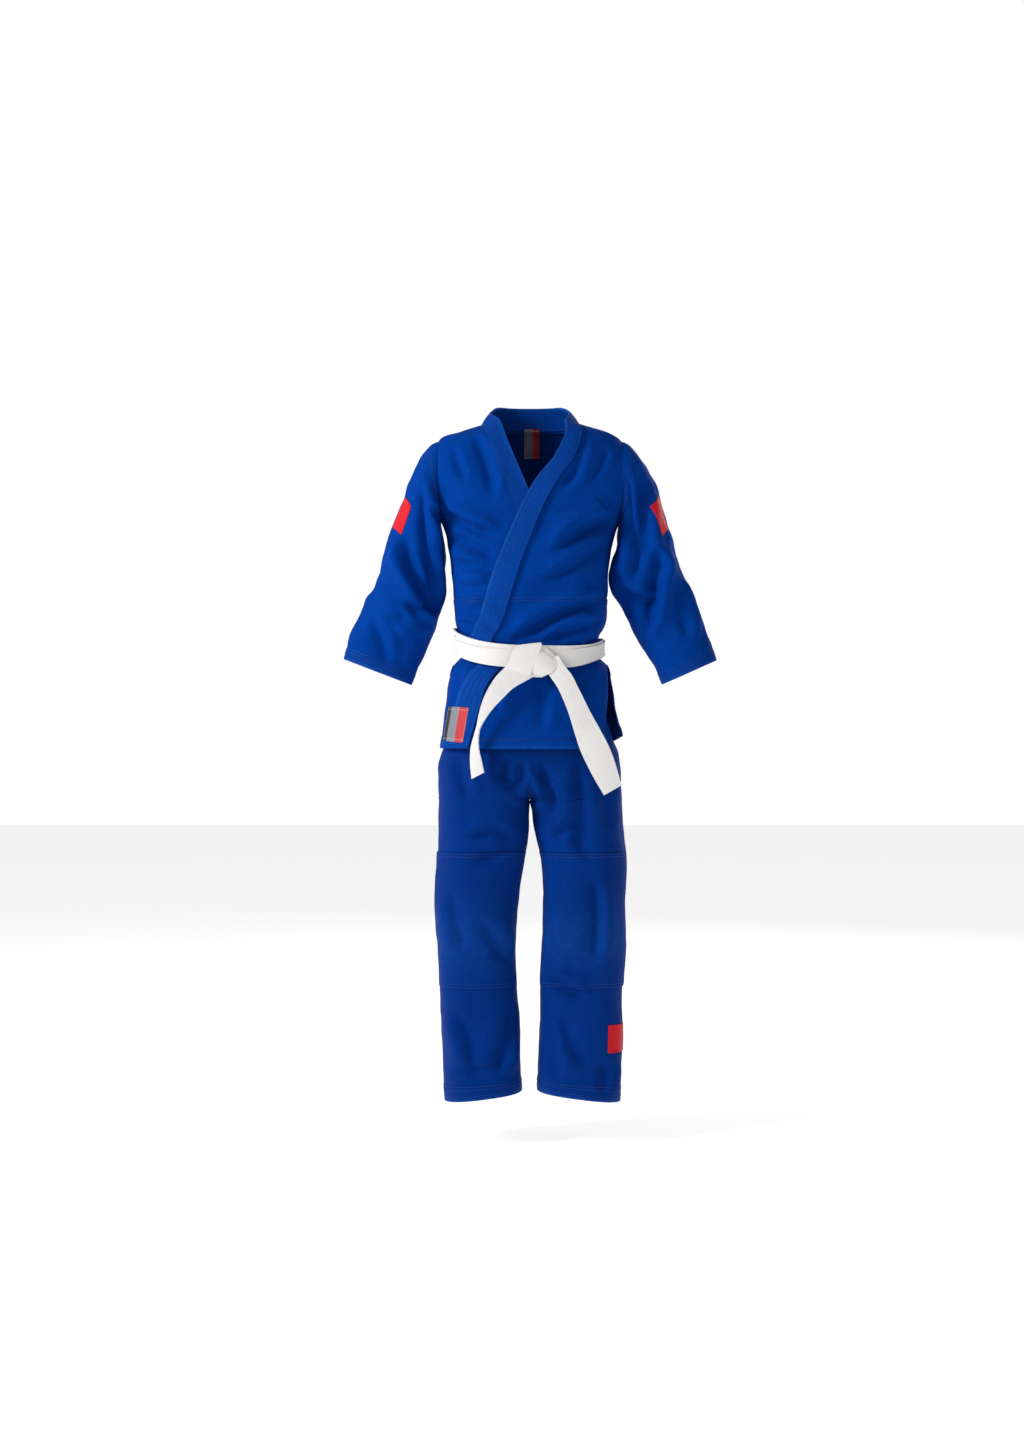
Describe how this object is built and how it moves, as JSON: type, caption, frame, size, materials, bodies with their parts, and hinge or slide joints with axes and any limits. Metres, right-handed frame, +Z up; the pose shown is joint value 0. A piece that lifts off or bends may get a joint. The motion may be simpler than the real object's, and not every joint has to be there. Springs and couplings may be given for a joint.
{
  "type": "martial arts uniform",
  "caption": "Wrapped heavy cotton jacket, loose trousers and a knotted belt, standing as worn, with jointed sleeves, legs, belt ends and back skirt.",
  "frame": {"origin": "middle of the neck opening at the level of the shoulder seams, where a hanger or a bust would hold the jacket", "axes": "+Z up, front of the uniform towards -Y, the wearer's left towards +X"},
  "size_m": [0.7599, 0.268, 1.4029],
  "materials": {
    "jacket_cotton": "heavy single weave cotton, matt royal blue",
    "lapel_band": "stitched cotton band, matt royal blue",
    "trouser_cotton": "plain cotton drill, matt royal blue",
    "belt_cotton": "stitched white cotton, matt",
    "red_patch": "embroidered red cloth",
    "woven_label": "woven satin label, blank"
  },
  "bodies": {
    "jacket": {"belt_inner_wrap": "belt_cotton", "belt_knot": "belt_cotton", "belt_outer_wrap": "belt_cotton", "jacket_back": "jacket_cotton", "jacket_left_front": "jacket_cotton", "jacket_right_front": "jacket_cotton", "left_lapel": "lapel_band", "left_shoulder_cloth": "jacket_cotton", "left_vent_patch": "jacket_cotton", "neck_collar": "lapel_band", "neck_label": "woven_label", "right_lapel": "lapel_band", "right_shoulder_cloth": "jacket_cotton", "right_vent_patch": "jacket_cotton", "skirt_back_top": "jacket_cotton", "skirt_label": "woven_label", "skirt_left_front": "jacket_cotton", "skirt_right_front": "jacket_cotton"},
    "back_skirt": {"skirt_back_flap": "jacket_cotton"},
    "trousers": {"waistband": "trouser_cotton", "left_hip_panel": "trouser_cotton", "right_hip_panel": "trouser_cotton", "crotch_gusset": "trouser_cotton", "left_drawstring_loop": "trouser_cotton", "right_drawstring_loop": "trouser_cotton", "left_hip_cloth": "trouser_cotton", "right_hip_cloth": "trouser_cotton"},
    "right_upper_arm": {"right_upper_sleeve": "jacket_cotton", "right_sleeve_patch": "red_patch", "right_elbow_cloth": "jacket_cotton"},
    "right_forearm": {"right_lower_sleeve": "jacket_cotton", "right_cuff_band": "jacket_cotton"},
    "right_upper_leg": {"right_thigh": "trouser_cotton", "right_knee_cloth": "trouser_cotton", "right_knee_patch": "trouser_cotton"},
    "right_lower_leg": {"right_shin": "trouser_cotton", "right_leg_hem": "trouser_cotton"},
    "right_tail": {"right_belt_tail": "belt_cotton"},
    "left_upper_arm": {"left_upper_sleeve": "jacket_cotton", "left_sleeve_patch": "red_patch", "left_elbow_cloth": "jacket_cotton"},
    "left_forearm": {"left_lower_sleeve": "jacket_cotton", "left_cuff_band": "jacket_cotton"},
    "left_upper_leg": {"left_thigh": "trouser_cotton", "left_knee_cloth": "trouser_cotton", "left_knee_patch": "trouser_cotton"},
    "left_lower_leg": {"left_shin": "trouser_cotton", "left_leg_hem": "trouser_cotton", "leg_patch": "red_patch"},
    "left_tail": {"left_belt_tail": "belt_cotton"}
  },
  "joints": [
    {"name": "right_shoulder", "type": "hinge", "parent": "jacket", "child": "right_upper_arm", "pos_m": [-0.178, 0, -0.11], "axis": [0, 1, 0], "range_deg": [0, 60], "deforming": ["right_shoulder_cloth"]},
    {"name": "right_elbow", "type": "hinge", "parent": "right_upper_arm", "child": "right_forearm", "pos_m": [-0.256, 0, -0.3555], "axis": [-0.9136, 0, 0.4067], "range_deg": [0, 55], "deforming": ["right_elbow_cloth"]},
    {"name": "left_shoulder", "type": "hinge", "parent": "jacket", "child": "left_upper_arm", "pos_m": [0.178, 0, -0.11], "axis": [0, -1, 0], "range_deg": [0, 60], "deforming": ["left_shoulder_cloth"]},
    {"name": "left_elbow", "type": "hinge", "parent": "left_upper_arm", "child": "left_forearm", "pos_m": [0.256, 0, -0.3555], "axis": [-0.9136, 0, -0.4067], "range_deg": [0, 55], "deforming": ["left_elbow_cloth"]},
    {"name": "trouser_slide", "type": "slide", "parent": "jacket", "child": "trousers", "axis": [0, 0, -1], "range_m": [0, 0.26]},
    {"name": "right_hip", "type": "hinge", "parent": "trousers", "child": "right_upper_leg", "pos_m": [-0.095, 0, -0.78], "axis": [-1, 0, 0], "range_deg": [-15, 35], "deforming": ["right_hip_cloth"]},
    {"name": "right_knee", "type": "hinge", "parent": "right_upper_leg", "child": "right_lower_leg", "pos_m": [-0.109, 0, -1.01], "axis": [1, 0, 0], "range_deg": [0, 55], "deforming": ["right_knee_cloth", "right_knee_patch"]},
    {"name": "left_hip", "type": "hinge", "parent": "trousers", "child": "left_upper_leg", "pos_m": [0.095, 0, -0.78], "axis": [-1, 0, 0], "range_deg": [-15, 35], "deforming": ["left_hip_cloth"]},
    {"name": "left_knee", "type": "hinge", "parent": "left_upper_leg", "child": "left_lower_leg", "pos_m": [0.109, 0, -1.01], "axis": [1, 0, 0], "range_deg": [0, 55], "deforming": ["left_knee_cloth", "left_knee_patch"]},
    {"name": "right_tail_lift", "type": "hinge", "parent": "jacket", "child": "right_tail", "pos_m": [-0.031, -0.1396, -0.484], "axis": [-1, 0, 0], "range_deg": [0, 60]},
    {"name": "left_tail_lift", "type": "hinge", "parent": "jacket", "child": "left_tail", "pos_m": [0.052, -0.1396, -0.481], "axis": [-1, 0, 0], "range_deg": [0, 60]},
    {"name": "back_skirt_lift", "type": "hinge", "parent": "jacket", "child": "back_skirt", "pos_m": [0, 0.109, -0.487], "axis": [1, 0, 0], "range_deg": [0, 45]}
  ]
}
